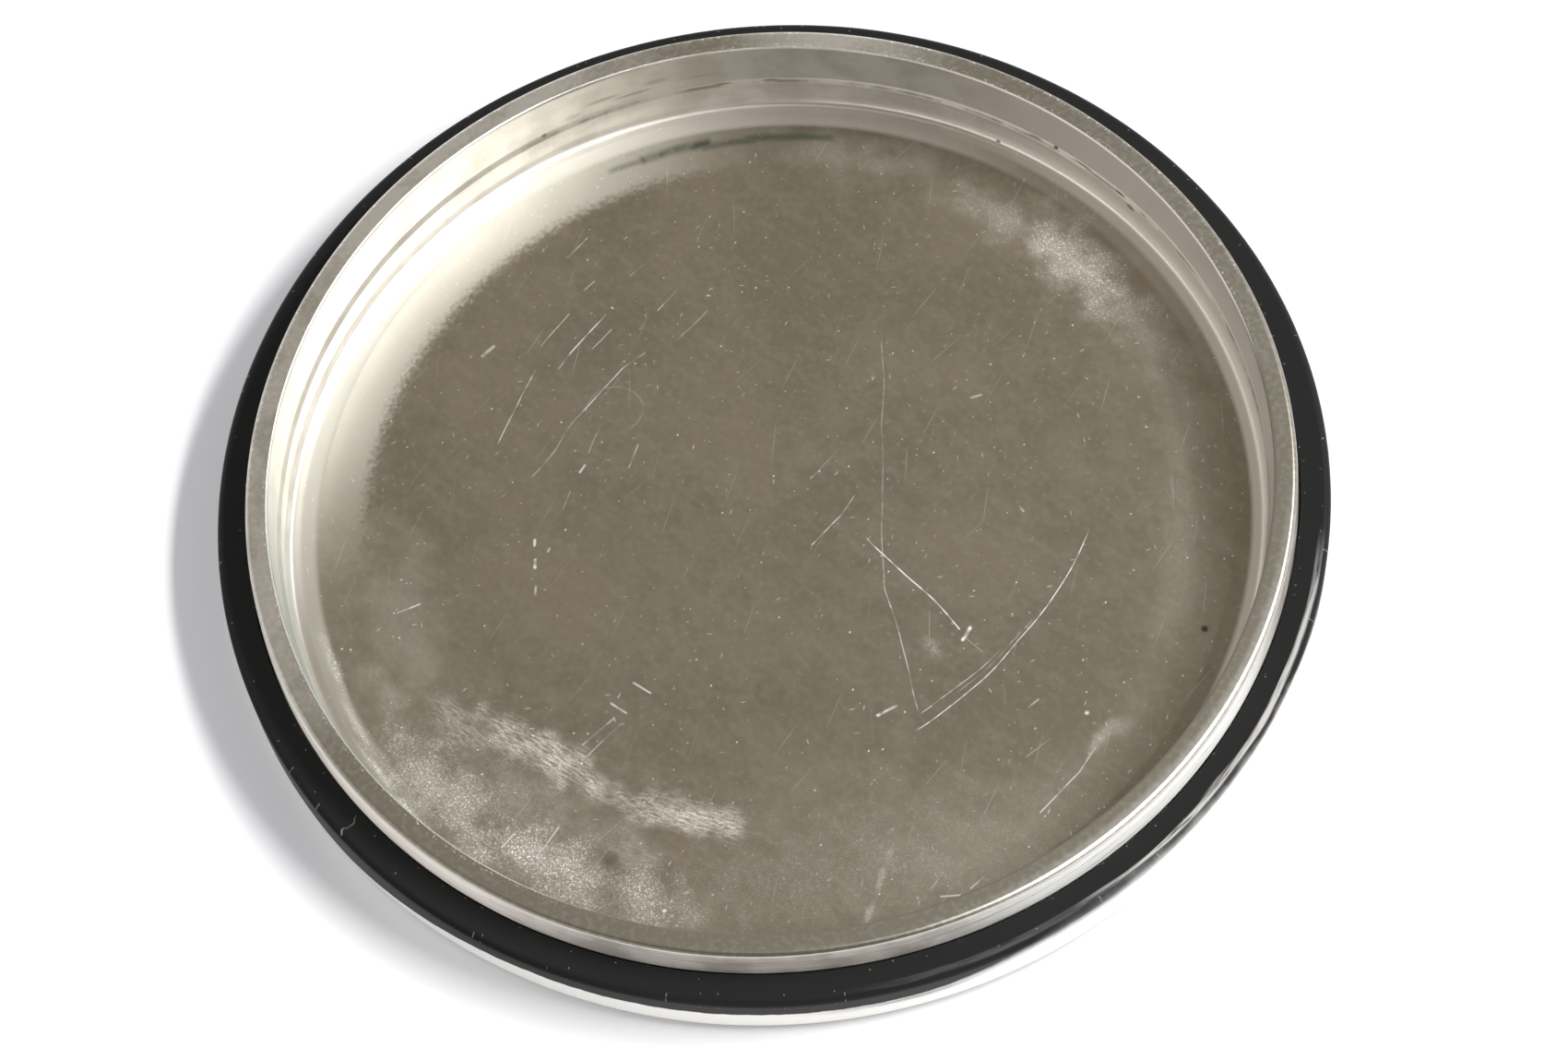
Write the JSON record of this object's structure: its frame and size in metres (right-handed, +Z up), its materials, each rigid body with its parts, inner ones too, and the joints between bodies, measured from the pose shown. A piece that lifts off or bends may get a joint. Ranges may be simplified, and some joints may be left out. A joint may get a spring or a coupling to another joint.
{
  "type": "shoe polish tin",
  "caption": "Shallow round tinplate polish pan with a rolled rim, standing open side up in its upturned black-edged lid and lifting straight out of it.",
  "frame": {"origin": "on the table, under the middle of the tin: the centre of the lid's resting face", "axes": "+Z up, out of the open side of the pan, along the tin's axis; +X and +Y are any two directions across the round tin"},
  "size_m": [0.07, 0.07, 0.0066],
  "materials": {
    "black_lacquer": "gloss black lacquer band on tinplate, with a pale silver face below it",
    "bare_tinplate": "bare tinplate, satin, warm grey, scratched and slightly stained by use"
  },
  "bodies": {
    "lid": {"lid_shell": "black_lacquer"},
    "pan": {"base_pan": "bare_tinplate"}
  },
  "joints": [
    {"name": "base_lift", "type": "slide", "parent": "lid", "child": "pan", "axis": [0, 0, 1], "range_m": [0, 0.02]}
  ]
}
